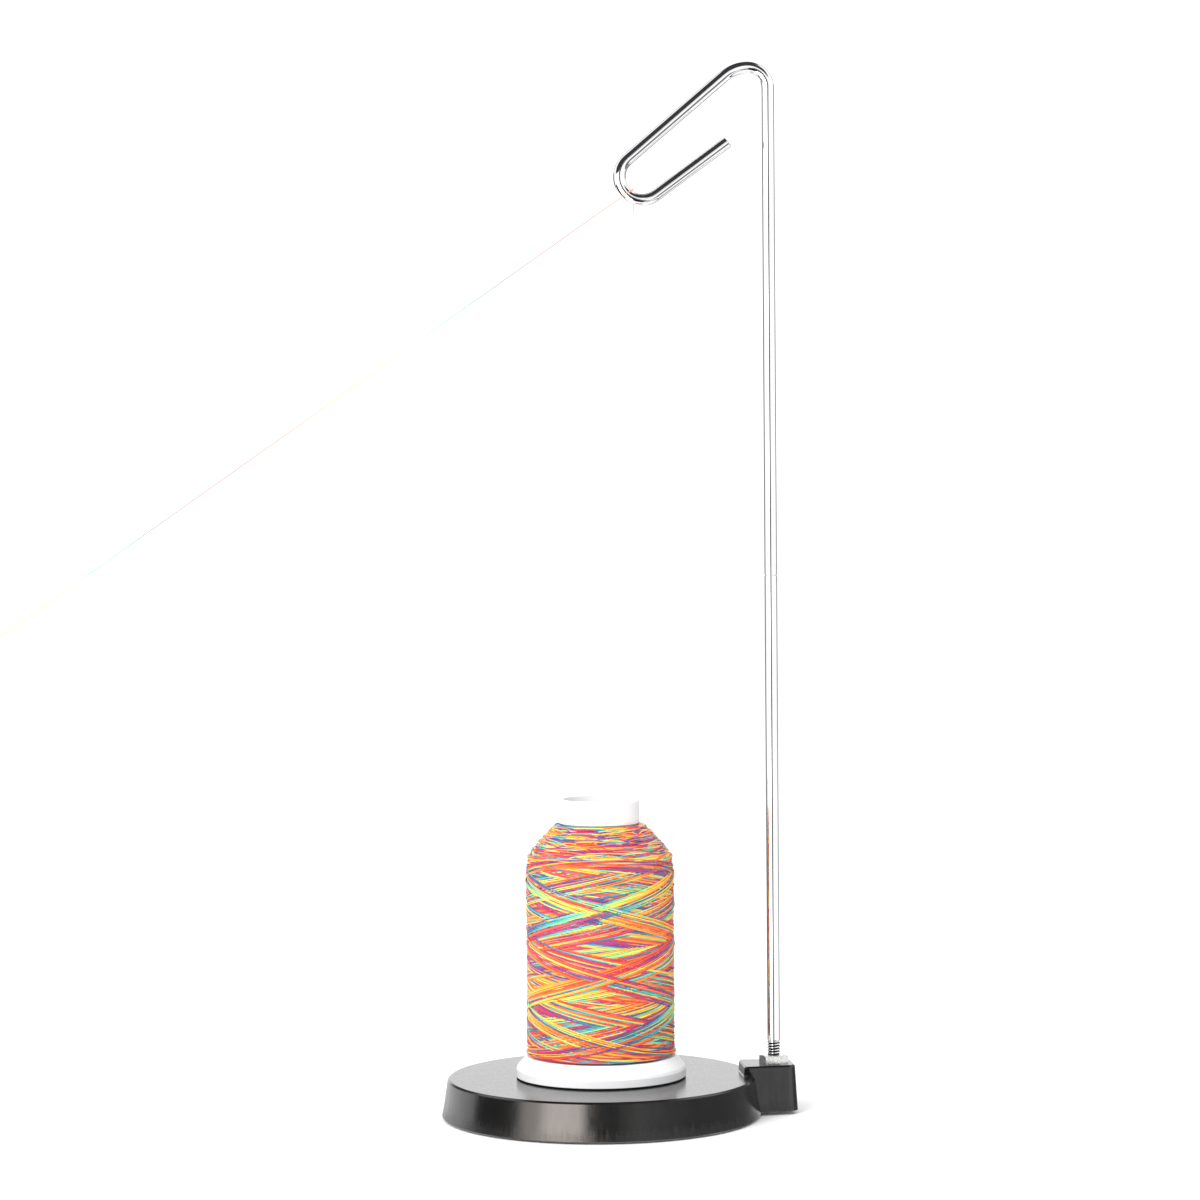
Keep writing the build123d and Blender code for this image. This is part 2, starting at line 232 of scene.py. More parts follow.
RISE_SPLIT = on_rise(RISE_SPLIT_HEIGHT)
RISE_HEAD = on_rise(WRAP_BACK[2] - RISE_TOP_GAP)
WRAP_FRONT = (WRAP_BACK[0], -WRAP_BACK[1], WRAP_BACK[2])
RUN_END = (WRAP_FRONT[0] - RUN_REACH, WRAP_FRONT[1], WRAP_FRONT[2] - RUN_DROP)


def resampled(points, step):
    """Points about step apart along a line, with the distance along it of each."""
    points = np.asarray(points, float)
    along = np.concatenate([[0], np.cumsum(np.linalg.norm(np.diff(points, axis=0), axis=1))])
    count = max(2, math.ceil(along[-1] / step) + 1)
    at = np.linspace(0, along[-1], count)
    return np.stack([np.interp(at, along, points[:, axis]) for axis in range(3)], axis=1), at


def carried_frames(points):
    """Tangent, side and lift of each point, with the side carried along without twist."""
    tangents = np.gradient(points, axis=0)
    tangents /= np.linalg.norm(tangents, axis=1)[:, None]
    side = np.cross(tangents[0], OFF_THREAD)
    sides = []
    for tangent in tangents:
        side = side - tangent * (side @ tangent)
        side = side / np.linalg.norm(side)
        sides.append(side)
    sides = np.array(sides)
    return tangents, sides, np.cross(tangents, sides)


def tube_faces(ring_count, sides):
    """Wall and end faces of a tube whose rings have that many points."""
    ring = np.arange(sides)
    base = np.arange(ring_count - 1)[:, None] * sides
    there = (ring + 1) % sides
    wall = np.stack([base + ring, base + there, base + there + sides, base + ring + sides], axis=-1)
    ends = np.stack([ring[::-1], (ring_count - 1) * sides + ring])
    return wall.reshape(-1, 4), ends


def ring_faces(around, count):
    """Faces of a closed body of revolution from that many outlines of that many points."""
    here = np.arange(around)[:, None] * count
    there = (np.arange(around)[:, None] + 1) % around * count
    low = np.arange(count)[None, :]
    high = (low + 1) % count
    return np.stack([here + low, there + low, there + high, here + high], axis=-1).reshape(-1, 4)


def ply_thread(name, points, start_along):
    """A twisted three-ply thread along a line, with how far along the thread each point is."""
    line, along = resampled(points, THREAD_RING_STEP)
    _, sides, lifts = carried_frames(line)
    turn = np.linspace(0, 2 * math.pi, THREAD_SIDES, endpoint=False)
    lay = 2 * math.pi * (start_along + along) / PLY_LAY
    bulge = 1 + PLY_DEPTH * np.cos(PLY_COUNT * (turn[None, :] + lay[:, None]))
    radius = THREAD_DIAMETER / 2 / (1 + PLY_DEPTH) * bulge
    rings = (
        line[:, None, :]
        + (radius * np.cos(turn))[:, :, None] * sides[:, None, :]
        + (radius * np.sin(turn))[:, :, None] * lifts[:, None, :]
    )
    obj = mesh_object(name, rings.reshape(-1, 3), *tube_faces(len(line), THREAD_SIDES))
    point_attribute(obj, "run", np.repeat(start_along + along, THREAD_SIDES) / MM)
    return obj, line


def spline_points(points):
    """Points along the smooth line that has these as its control points."""
    data = bpy.data.curves.new("route", "CURVE")
    data.dimensions = "3D"
    spline = data.splines.new("NURBS")
    spline.points.add(len(points) - 1)
    for control, place in zip(spline.points, points):
        control.co = (*place, 1)
    spline.order_u = ROUTE_ORDER
    spline.use_endpoint_u = True
    spline.resolution_u = ROUTE_RESOLUTION
    route = bpy.data.objects.new("route", data)
    line_mesh = bpy.data.meshes.new_from_object(route)
    line = np.array([vertex.co for vertex in line_mesh.vertices], float)
    bpy.data.meshes.remove(line_mesh)
    bpy.data.objects.remove(route)
    bpy.data.curves.remove(data)
    return line


def towards(start, end, distance):
    """The point that far from start on the way to end."""
    start, end = Vector(start), Vector(end)
    return tuple(start + (end - start).normalized() * distance)


def make_free_thread():
    lower, lower_line = ply_thread("thread_rise_lower_strand", [RISE_FOOT, RISE_SPLIT], 0)
    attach(lower, "base")
    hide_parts("thread_rise_lower")
    lower_length = (Vector(RISE_SPLIT) - Vector(RISE_FOOT)).length
    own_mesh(lower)

    upper, upper_line = ply_thread("thread_rise_upper_strand", [RISE_SPLIT, RISE_HEAD], lower_length)
    upper_length = (Vector(RISE_HEAD) - Vector(RISE_SPLIT)).length
    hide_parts("thread_rise_upper")
    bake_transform(upper)

    route = [
        RISE_HEAD,
        towards(WRAP_BACK, RISE_HEAD, NEAR_HOOK),
        WRAP_BACK,
        WRAP_FRONT,
        towards(WRAP_FRONT, RUN_END, NEAR_HOOK),
        RUN_END,
    ]
    run_start = lower_length + upper_length
    run, run_line = ply_thread("thread_run_strand", spline_points(route), run_start)
    run_length = float(np.linalg.norm(np.diff(run_line, axis=0), axis=1).sum())
    knot = make_knot(run_start + run_length)
    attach(run, "guide")
    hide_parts("thread_run")
    return [lower, upper, run, knot]


def make_knot(start_along):
    """A knot wound from the same thread, with a short tail, past the end of the run."""
    direction = (Vector(RUN_END) - Vector(WRAP_FRONT)).normalized()
    across = Vector((0, 1, 0))
    up = direction.cross(across)
    points = [Vector(RUN_END) - direction * KNOT_STRAND_RADIUS]
    for index in range(KNOT_STEPS + 1):
        share = index / KNOT_STEPS
        angle = KNOT_TURNS * 2 * math.pi * share
        reach = KNOT_RADIUS * math.sin(math.pi * share) ** KNOT_FULLNESS if 0 < share < 1 else 0
        forward = KNOT_LENGTH * (0.5 - 0.5 * math.cos(math.pi * share)) * KNOT_ADVANCE
        forward += KNOT_LENGTH * KNOT_SWAY * math.sin(2 * math.pi * KNOT_SWAYS * share)
        points.append(
            Vector(RUN_END) + direction * forward
            + across * (reach * math.cos(angle)) + up * (reach * math.sin(angle))
        )
    points.append(Vector(RUN_END) + direction * (KNOT_LENGTH + KNOT_TAIL * KNOT_TAIL_BEND))
    points.append(Vector(RUN_END) + direction * (KNOT_LENGTH + KNOT_TAIL))
    line, along = resampled(spline_points([tuple(point) for point in points]), KNOT_RING_STEP)
    _, sides, lifts = carried_frames(line)
    turn = np.linspace(0, 2 * math.pi, KNOT_SIDES, endpoint=False)
    rings = (
        line[:, None, :]
        + KNOT_STRAND_RADIUS * np.cos(turn)[None, :, None] * sides[:, None, :]
        + KNOT_STRAND_RADIUS * np.sin(turn)[None, :, None] * lifts[:, None, :]
    )
    faces = tube_faces(len(line), KNOT_SIDES)
    knot = mesh_object("thread_knot_strand", rings.reshape(-1, 3), *faces)
    point_attribute(knot, "run", np.repeat((start_along + along) / MM, KNOT_SIDES))
    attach(knot, "guide")
    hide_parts("thread_knot")
    return knot


free_thread = make_free_thread()


# Wound thread
def averaged(values, reach):
    """A moving average along the first axis, with the ends held."""
    window = 2 * reach + 1
    padded = np.pad(values, [(reach, reach)] + [(0, 0)] * (values.ndim - 1), mode="edge")
    sums = np.cumsum(padded, axis=0)
    sums = np.concatenate([np.zeros_like(sums[:1]), sums])
    return (sums[window:] - sums[:-window]) / window


def highest_near(values, reach):
    """The highest value within reach steps of each value."""
    padded = np.pad(values, reach, mode="edge")
    return np.max([padded[k:k + len(values)] for k in range(2 * reach + 1)], axis=0)


class Winding:
    """Lays strands one after another on the cone, each on top of what it crosses."""

    def __init__(self):
        corners = np.array(WINDING_OUTLINE)
        along = np.concatenate([[0], np.cumsum(np.linalg.norm(np.diff(corners, axis=0), axis=1))])
        self.length = along[-1]
        self.places = np.arange(0, self.length, OUTLINE_STEP)
        outline = np.stack([np.interp(self.places, along, corners[:, axis]) for axis in range(2)], axis=1)
        self.outline = averaged(outline, OUTLINE_SMOOTH)
        slope = np.gradient(self.outline, axis=0)
        slope /= np.linalg.norm(slope, axis=1)[:, None]
        self.normal = np.stack([slope[:, 1], -slope[:, 0]], axis=1)
        self.cover = np.zeros((ROUND_CELLS, len(self.places)))
        self.paths = []

    def cells(self, angle, place):
        column = np.floor(angle / (2 * math.pi) * ROUND_CELLS).astype(int) % ROUND_CELLS
        row = np.clip((place / OUTLINE_STEP).astype(int), 1, len(self.places) - 2)
        return column, row

    def radius(self, place):
        return np.interp(place, self.places, self.outline[:, 0])

    def points(self, angle, place, lift):
        """Points in millimetres at these angles, distances up the outline and lifts off it."""
        out = [np.interp(place, self.places, self.normal[:, axis]) for axis in range(2)]
        radius = self.radius(place) + lift * out[0]
        height = np.interp(place, self.places, self.outline[:, 1]) + lift * out[1]
        return np.stack([radius * np.cos(angle), radius * np.sin(angle), height], axis=-1)

    def lay(self, angle, place, colour_run, reach=5, chunk=600, dive=0.0):
        """Lays one strand along a path of samples, over what lies there already."""
        dive = np.broadcast_to(dive, angle.shape)
        lift = np.empty(len(angle))
        column, row = self.cells(angle, place)
        for first in range(0, len(angle), chunk):
            low = max(first - 2 * reach, 0)
            high = min(first + chunk + 2 * reach, len(angle))
            under = self.cover[column[low:high], row[low:high]]
            settled = averaged(highest_near(under, reach), reach) + STRAND_RADIUS
            last = min(first + chunk, len(angle))
            lift[first:last] = settled[first - low:last - low] - dive[first:last]
            top = lift[first:last] + STRAND_RADIUS * (2 * STRAND_SINK - 1)
            for offset in (-1, 0, 1):
                np.maximum.at(self.cover, (column[first:last], row[first:last] + offset), top)
        self.paths.append((angle, place, averaged(lift, reach), colour_run))

    def settle(self):
        """The broad swell of the laid strands, which the strands are let down by."""
        swell = self.cover
        for _ in range(BLUR_PASSES):
            wrapped = np.concatenate([swell[-BLUR_CELLS[0]:], swell, swell[:BLUR_CELLS[0]]])
            swell = averaged(wrapped, BLUR_CELLS[0])[BLUR_CELLS[0]:-BLUR_CELLS[0]]
            swell = averaged(swell.T, BLUR_CELLS[1]).T
        return swell


def wind_side(winding, rng, passes, turns, step, rounding):
    """One strand that runs up and down the side of the cone many times, in bands."""
    slant = math.atan2(2 * (SIDE_HIGH - SIDE_LOW), SIDE_RADIUS * 2 * math.pi * turns)
    spacing = 2 * STRAND_RADIUS / (SIDE_RADIUS * math.sin(slant)) / (2 * math.pi)
    steps = turns + step * spacing + spacing * rng.normal(0, STEP_SLIP, passes)
    start = np.cumsum(np.concatenate([[rng.random()], steps]))
    knots = np.arange(passes + 1)
    samples = int(passes * turns * 2 * math.pi * SIDE_RADIUS / STRAND_SAMPLE)
    phase = np.linspace(0, passes, samples)
    wave = rounded_wave(phase, rounding)
    low_slip = np.interp(phase, knots, rng.uniform(-END_SPREAD[0], END_SPREAD[0], passes + 1))
    high_slip = np.interp(phase, knots, rng.uniform(-END_SPREAD[1], END_SPREAD[1], passes + 1))
    bends = passes * WANDERS_A_PASS + 1
    wander = np.interp(phase * WANDERS_A_PASS, np.arange(bends), rng.normal(0, STRAND_WANDER, bends))
    place = SIDE_LOW + (SIDE_HIGH - SIDE_LOW) * wave + wander
    place += low_slip * (1 - wave) ** END_SHARPNESS + high_slip * wave ** END_SHARPNESS
    place = np.clip(place, SIDE_MARGINS[0], winding.length - SIDE_MARGINS[1])
    angle = 2 * math.pi * np.interp(phase, knots, start)
    travel = np.hypot(np.diff(angle) * SIDE_RADIUS, np.diff(place))
    colour_run = np.concatenate([[0], np.cumsum(travel)])
    slips = np.cumsum(rng.normal(0, COLOUR_SLIP, passes * COLOUR_SLIPS_A_PASS + 1))
    colour_run += np.interp(phase * COLOUR_SLIPS_A_PASS, np.arange(len(slips)), slips)
    winding.lay(angle, place, colour_run)


def rounded_wave(phase, rounding):
    """A wave from 0 up to 1 and back, once for each whole step of phase, with rounded turns."""
    ramp = 1 - np.abs(2 * (np.asarray(phase) % 1.0) - 1)
    low = rounding / 2 + ramp**2 / (2 * rounding)
    high = 1 - rounding / 2 - (1 - ramp) ** 2 / (2 * rounding)
    bent = np.where(ramp < rounding, low, np.where(ramp > 1 - rounding, high, ramp))
    return (bent - rounding / 2) / (1 - rounding)


def wind_shoulder(winding, rng, count, low, high):
    """Short, nearly level arcs over the sloping shoulder, whose ends dip under their neighbours."""
    places = low + (high - low) * (rng.permutation(count) + rng.random(count)) / count
    for place_top in places:
        radius = float(winding.radius(place_top))
        half = rng.uniform(*ARC_HALF_LENGTHS)
        centre = rng.uniform(0, 2 * math.pi)
        across = np.arange(-half, half, STRAND_SAMPLE)
        slope = rng.normal(0, ARC_SLOPE)
        sag = (across / half) ** 2 * rng.uniform(0, ARC_SAG)
        place = place_top + slope * across - sag
        place = np.clip(place, SHOULDER_MARGINS[0], winding.length - SHOULDER_MARGINS[1])
        colour_run = across + rng.uniform(0, COLOUR_REPEAT)
        dive = ARC_DIVE * (across / half) ** END_SHARPNESS
        winding.lay(centre + across / radius, place, colour_run, reach=ARC_REACH, dive=dive)


def strand_mesh(name, winding, paths, swell, ring_step):
    """One mesh of closed tubes along the strands, with a colour run in millimetres."""
    points = []
    walls = []
    ends = []
    runs = []
    base = 0
    sides = len(STRAND_SECTION)
    across, up = np.array(STRAND_SECTION).T
    for angle, place, lift, colour_run in paths:
        every = np.append(np.arange(0, len(angle) - 1, int(ring_step / STRAND_SAMPLE)), len(angle) - 1)
        column, row = winding.cells(angle, place)
        lift = (lift - swell[column, row]) * LIFT_KEEP
        line = winding.points(angle, place, lift)[every]
        tangents = np.gradient(line, axis=0)
        tangents /= np.linalg.norm(tangents, axis=1)[:, None]
        above = winding.points(angle, place, lift + 1)[every] - line
        side = np.cross(above, tangents)
        side /= np.linalg.norm(side, axis=1)[:, None]
        above = np.cross(tangents, side)
        rings = (
            line[:, None, :]
            + up[None, :, None] * above[:, None, :]
            + across[None, :, None] * side[:, None, :]
        )
        points.append(rings.reshape(-1, 3))
        wall, end = tube_faces(len(line), sides)
        walls.append(base + wall)
        ends.append(base + end)
        runs.append(np.repeat(colour_run[every], sides))
        base += len(line) * sides
    obj = mesh_object(name, np.concatenate(points) * MM, np.concatenate(walls), np.concatenate(ends))
    point_attribute(obj, "run", np.concatenate(runs))
    return obj


def make_bed(winding):
    """The thread under the strands, as one closed body of revolution."""
    at = np.linspace(0, len(winding.places) - 1, BED_ROWS).astype(int)
    angle = np.arange(BED_AROUND) * 2 * math.pi / BED_AROUND
    place = np.broadcast_to(winding.places[at], (BED_AROUND, BED_ROWS))
    outer = winding.points(np.broadcast_to(angle[:, None], place.shape), place, -BED_SINK)
    heights = (winding.outline[-1, 1], winding.outline[0, 1])
    ring = np.stack([CORE_RADIUS * np.cos(angle), CORE_RADIUS * np.sin(angle)], axis=-1)
    inner = [np.column_stack([ring, np.full(BED_AROUND, height)]) for height in heights]
    points = np.concatenate([outer, np.stack(inner, axis=1)], axis=1)
    return mesh_object("winding_bed", points.reshape(-1, 3) * MM, ring_faces(BED_AROUND, BED_ROWS + 2))


def make_winding():
    rng = np.random.default_rng(SEED)
    winding = Winding()
    layers = []
    for turn, (name, *shape, ring_step) in enumerate(SIDE_SESSIONS):
        if turn == SHOULDER_TURN:
            head = winding.length - SHOULDER_HEAD_GAP
            wind_shoulder(winding, rng, SHOULDER_ARCS, SHOULDER_LOW, head)
            layers.append(("winding_shoulder", SHOULDER_RING_STEP, len(winding.paths)))
        wind_side(winding, rng, *shape)
        layers.append((name, ring_step, len(winding.paths)))
    swell = winding.settle()
    pieces = []
    first = 0
    for name, ring_step, last in layers:
        pieces.append(strand_mesh(name, winding, winding.paths[first:last], swell, ring_step))
        first = last
    pieces.append(make_bed(winding))
    for piece in pieces:
        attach(piece, "spool")
    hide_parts("thread_outer_turns")
    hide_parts("thread_package")
    return pieces


winding_pieces = make_winding()


# Screw thread on the mast above the nut, in millimetres
SCREW_PITCH = 25.4 / 24
SCREW_ROOT_RADIUS = 1.98
SCREW_CREST_RADIUS = 2.38
SCREW_HOLLOW_RADIUS = 1.2
SCREW_FOOT = 21.45
SCREW_HEAD = 26.9
SCREW_RUNOUT = 0.8
SCREW_CREST_SHARE = 0.3
SCREW_ROOT_SHARE = 0.15
SCREW_AROUND = 72
SCREW_ROWS = 150
MAST_X = 65.5


def make_screw_thread():
    height = np.linspace(SCREW_FOOT, SCREW_HEAD, SCREW_ROWS)
    angle = np.linspace(0, 2 * math.pi, SCREW_AROUND, endpoint=False)
    phase = (height[None, :] / SCREW_PITCH - angle[:, None] / (2 * math.pi)) % 1.0
    from_crest = np.abs(2 * phase - 1)
    flank = 1 - SCREW_CREST_SHARE - SCREW_ROOT_SHARE
    tooth = np.clip(1 - (from_crest - SCREW_CREST_SHARE) / flank, 0, 1)
    fade = np.clip((SCREW_HEAD - height) / SCREW_RUNOUT, 0, 1)[None, :]
    tooth = tooth * fade + (1 - fade)
    radius = SCREW_ROOT_RADIUS + (SCREW_CREST_RADIUS - SCREW_ROOT_RADIUS) * tooth
    inner = np.full((SCREW_AROUND, 2), SCREW_HOLLOW_RADIUS)
    radius = np.concatenate([radius, inner], axis=1)
    height = np.concatenate([height, [SCREW_HEAD, SCREW_FOOT]])
    points = np.stack([
        MAST_X + radius * np.cos(angle)[:, None],
        radius * np.sin(angle)[:, None],
        np.broadcast_to(height[None, :], radius.shape),
    ], axis=-1)
    faces = ring_faces(SCREW_AROUND, len(height))
    thread = mesh_object("mast_screw_thread", points.reshape(-1, 3) * MM, faces, smooth=False)
    # Depth below the crest, which the screw's paint turns into painted shade in the roots
    point_attribute(thread, "depth", 1 - np.concatenate([tooth, inner * 0], axis=1).ravel())
    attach(thread, "guide")
    return thread


screw_thread = make_screw_thread()


# Shader nodes
class Nodes:
    """A node tree whose nodes are added by short calls."""

    def __init__(self, tree):
        self.tree = tree
        self.tree.nodes.clear()

    def node(self, kind, settings=None, **inputs):
        made = self.tree.nodes.new(kind)
        for key, value in (settings or {}).items():
            setattr(made, key, value)
        for key, value in inputs.items():
            self.put(made.inputs[key.replace("_", " ")], value)
        return made

    def put(self, socket, value):
        if isinstance(value, bpy.types.NodeSocket):
            self.tree.links.new(value, socket)
        else:
            socket.default_value = value

    def attribute(self, name):
        return self.node("ShaderNodeAttribute", {"attribute_name": name}).outputs["Fac"]

    def math(self, operation, first, second=0.0, third=0.0):
        made = self.tree.nodes.new("ShaderNodeMath")
        made.operation = operation
        for socket, value in zip(made.inputs, (first, second, third)):
            self.put(socket, value)
        return made.outputs[0]

    def noise(self, vector, scale, detail=3.0, roughness=0.5):
        made = self.node("ShaderNodeTexNoise", Scale=scale, Detail=detail, Roughness=roughness)
        self.put(made.inputs["Vector"], vector)
        return made.outputs["Fac"]

    def stretched(self, vector, scale):
        made = self.node("ShaderNodeMapping", Vector=vector)
        made.inputs["Scale"].default_value = scale
        return made.outputs["Vector"]

    def ramp(self, factor, stops):
        made = self.node("ShaderNodeValToRGB")
        self.put(made.inputs["Fac"], factor)
        ramp = made.color_ramp
        while len(ramp.elements) > 1:
            ramp.elements.remove(ramp.elements[-1])
        ramp.elements[0].position = stops[0][0]
        ramp.elements[0].color = stops[0][1]
        for position, colour in stops[1:]:
            ramp.elements.new(position).color = colour
        return made.outputs["Color"]

    def range(self, value, low, high, new_low, new_high, smooth=False):
        kind = "SMOOTHSTEP" if smooth else "LINEAR"
        made = self.node("ShaderNodeMapRange", {"interpolation_type": kind})
        self.put(made.inputs["Value"], value)
        self.put(made.inputs["From Min"], low)
        self.put(made.inputs["From Max"], high)
        self.put(made.inputs["To Min"], new_low)
        self.put(made.inputs["To Max"], new_high)
        return made.outputs["Result"]

    def mix(self, factor, first, second, blend="MIX"):
        """A blend of two colours."""
        made = self.node("ShaderNodeMix", {"data_type": "RGBA", "blend_type": blend})
        colours = [socket for socket in made.inputs if socket.type == "RGBA"]
        for socket, value in zip((made.inputs["Factor"], *colours), (factor, first, second)):
            self.put(socket, value)
        return [socket for socket in made.outputs if socket.type == "RGBA"][0]

    def bump(self, height, strength, distance, normal=None):
        made = self.node("ShaderNodeBump", Strength=strength, Distance=distance)
        self.put(made.inputs["Height"], height)
        if normal is not None:
            self.put(made.inputs["Normal"], normal)
        return made.outputs["Normal"]

    def window(self, value, low, high, soft):
        """1 from low to high, falling to 0 over the soft stretch at both ends."""
        rise = self.range(value, low - soft, low + soft, 0, 1, smooth=True)
        fall = self.range(value, high - soft, high + soft, 1, 0, smooth=True)
        return self.math("MULTIPLY", rise, fall)


class Paint(Nodes):
    """A material with one glossy shader."""

    def __init__(self, name):
        self.material = bpy.data.materials.new(name)
        self.material.use_nodes = True
        super().__init__(self.material.node_tree)
        self.shader = self.node("ShaderNodeBsdfPrincipled")
        output = self.node("ShaderNodeOutputMaterial")
        self.tree.links.new(self.shader.outputs[0], output.inputs["Surface"])

    def place(self):
        return self.node("ShaderNodeTexCoord").outputs["Object"]

    def set(self, **values):
        for key, value in values.items():
            self.put(self.shader.inputs[key.replace("_", " ")], value)


def srgb(red, green, blue):
    """A linear colour from display values of 0 to 255."""
    def linear(value):
        value = value / 255
        return value / 12.92 if value <= 0.04045 else ((value + 0.055) / 1.055) ** 2.4
    return (linear(red), linear(green), linear(blue), 1.0)


def grey(value):
    return (value, value, value, 1.0)


THREAD_COLOURS = (
    (0.0, srgb(255, 208, 66)), (0.1, srgb(255, 178, 48)), (0.2, srgb(255, 128, 34)),
    (0.32, srgb(246, 90, 36)), (0.42, srgb(232, 48, 44)), (0.5, srgb(204, 38, 88)),
    (0.58, srgb(164, 50, 132)), (0.65, srgb(98, 62, 138)), (0.72, srgb(48, 116, 160)),
    (0.79, srgb(34, 180, 192)), (0.87, srgb(110, 218, 164)), (0.94, srgb(196, 232, 100)),
    (1.0, srgb(255, 208, 66)),
)


def thread_paint(name, run_of, light_wash=0.0, drift_size=0.4, start=0.0):
    """Variegated thread, whose colour follows the distance along it in millimetres."""
    paint = Paint(name)
    run = run_of(paint)
    wander = paint.node("ShaderNodeTexNoise", {"noise_dimensions": "1D"}, Detail=1.0)
    paint.put(wander.inputs["Scale"], COLOUR_WANDER_SCALE)
    paint.put(wander.inputs["W"], run)
    drift = paint.math("MULTIPLY_ADD", wander.outputs["Fac"], drift_size, start)
    cycle = paint.math("FRACT", paint.math("ADD", paint.math("DIVIDE", run, COLOUR_REPEAT), drift))
    colour = paint.ramp(cycle, THREAD_COLOURS)
    place = paint.place()
    twist = paint.math("SINE", paint.math("MULTIPLY", run, 2 * math.pi / TWIST_LENGTH))
    fibre = paint.noise(paint.stretched(place, (9000, 9000, 9000)), 1.0, 2.0)
    # Painted shade and light along the ply twist: the colour is darker in the grooves between the plies
    # and lighter on their crests; the fibre noise on top is random tone
    painted_ply_shade = paint.range(twist, -1, 1, 0.9, 1.12)
    ply_shade_and_fibre_tone = paint.math("MULTIPLY", painted_ply_shade, paint.range(fibre, 0.3, 0.7, 0.94, 1.08))
    grey_ply_shade_and_fibre_tone = paint.node("ShaderNodeCombineColor", Red=ply_shade_and_fibre_tone, Green=ply_shade_and_fibre_tone, Blue=ply_shade_and_fibre_tone).outputs[0]
    colour = paint.mix(1.0, colour, grey_ply_shade_and_fibre_tone, "MULTIPLY")
    # Painted light: the free thread is paled towards white, as though light from behind washes out so thin
    # a thread
    paint.set(Base_Color=paint.mix(light_wash, colour, (1, 1, 1, 1)))
    paint.set(Roughness=paint.range(fibre, 0.3, 0.7, 0.34, 0.46), Normal=paint.bump(twist, 0.3, 0.05 * MM))
    paint.shader.inputs["Sheen Weight"].default_value = 0.1
    paint.shader.inputs["Specular IOR Level"].default_value = 0.8
    return paint.material


def strand_run(paint):
    return paint.attribute("run")


def wound_run(paint):
    """Distance along a thread wound in close level turns, from the place on the cone."""
    place = paint.node("ShaderNodeSeparateXYZ", Vector=paint.place())
    part = paint.math("DIVIDE", paint.math("ARCTAN2", place.outputs["Y"], place.outputs["X"]), 2 * math.pi)
    turns = paint.math("DIVIDE", place.outputs["Z"], 2 * STRAND_RADIUS * MM)
    whole = paint.math("FLOOR", paint.math("SUBTRACT", turns, part))
    return paint.math("MULTIPLY", paint.math("ADD", whole, part), 2 * math.pi * SIDE_RADIUS)


def enamel_paint():
    """Black enamel, whose upright sides mirror the room from a little lower than their slope gives."""
    paint = Paint("black_enamel")
    place = paint.place()
    foot_height = paint.node("ShaderNodeSeparateXYZ", Vector=place).outputs["Z"]
    normal = paint.node("ShaderNodeNewGeometry").outputs["Normal"]
    slope = paint.node("ShaderNodeSeparateXYZ", Vector=normal).outputs["Z"]
    upright = paint.range(slope, *LEAN_FADE, SIDE_LEAN, 0, smooth=True)
    lean = paint.node("ShaderNodeCombineXYZ", Z=upright).outputs["Vector"]
    added = paint.node("ShaderNodeVectorMath", {"operation": "ADD"})
    paint.put(added.inputs[0], normal)
    paint.put(added.inputs[1], lean)
    leaned = paint.node("ShaderNodeVectorMath", {"operation": "NORMALIZE"})
    paint.put(leaned.inputs[0], added.outputs["Vector"])
    broad = paint.noise(place, 60.0, 3.0)
    peel = paint.noise(place, 900.0, 2.0)
    streak = paint.noise(paint.stretched(place, (900, 900, 60)), 1.0, 3.0)
    fine = paint.noise(paint.stretched(place, (120, 2600, 2600)), 1.0, 2.0)
    colour = paint.ramp(broad, [(0.3, grey(0.006)), (0.7, grey(0.010))])
    streak_rough = paint.range(streak, 0.3, 0.7, 0.16, 0.23)
    rough = paint.math("ADD", streak_rough, paint.range(fine, 0.3, 0.7, -0.02, 0.03))
    worn_edge = paint.math("MULTIPLY_ADD", streak, WORN_RAGGEDNESS, WORN_HEIGHT)
    below_edge = paint.math("SUBTRACT", worn_edge, foot_height)
    worn = paint.range(below_edge, *WORN_FADE, 0, WORN_ROUGHNESS, smooth=True)
    relief = paint.math("ADD", peel, paint.math("MULTIPLY", streak, 0.8))
    paint.set(Base_Color=colour, Roughness=paint.math("ADD", rough, worn))
    paint.set(Normal=paint.bump(relief, 0.3, 0.02 * MM, leaned.outputs["Vector"]))
    paint.shader.inputs["Specular IOR Level"].default_value = 0.8
    return paint.material


def chrome_paint(name, screw=False):
    paint = Paint(name)
    place = paint.place()
    cloud = paint.noise(place, 220.0, 3.0)
    drawn = paint.noise(paint.stretched(place, (5200, 5200, 90)), 1.0, 2.0)
    colour = paint.ramp(cloud, [(0.3, (0.9, 0.9, 0.91, 1)), (0.7, (0.94, 0.94, 0.945, 1))])
    if screw:
        # Painted shade: the chrome is darkened towards the roots of the thread, where shade falls between
        # the crests
        painted_root_shade = paint.range(paint.attribute("depth"), 0.0, 0.7, 0.1, 1, smooth=True)
        colour = paint.mix(painted_root_shade, colour, (0.035, 0.033, 0.033, 1))
    paint.set(Base_Color=colour, Metallic=1.0, Roughness=paint.range(cloud, 0.3, 0.7, 0.05, 0.09))
    paint.set(Normal=paint.bump(drawn, 0.05, 0.006 * MM))
    return paint.material


def zinc_paint():
    paint = Paint("zinc_plate")
    place = paint.place()
    grain = paint.noise(place, 2600.0, 4.0, 0.6)
    cloud = paint.noise(place, 500.0, 2.0)
    colour = paint.ramp(cloud, [(0.3, (0.78, 0.785, 0.79, 1)), (0.7, (0.93, 0.93, 0.92, 1))])
    paint.set(Base_Color=colour, Metallic=1.0, Roughness=paint.range(grain, 0.3, 0.7, 0.2, 0.36))
    paint.set(Normal=paint.bump(grain, 0.3, 0.02 * MM))
    return paint.material


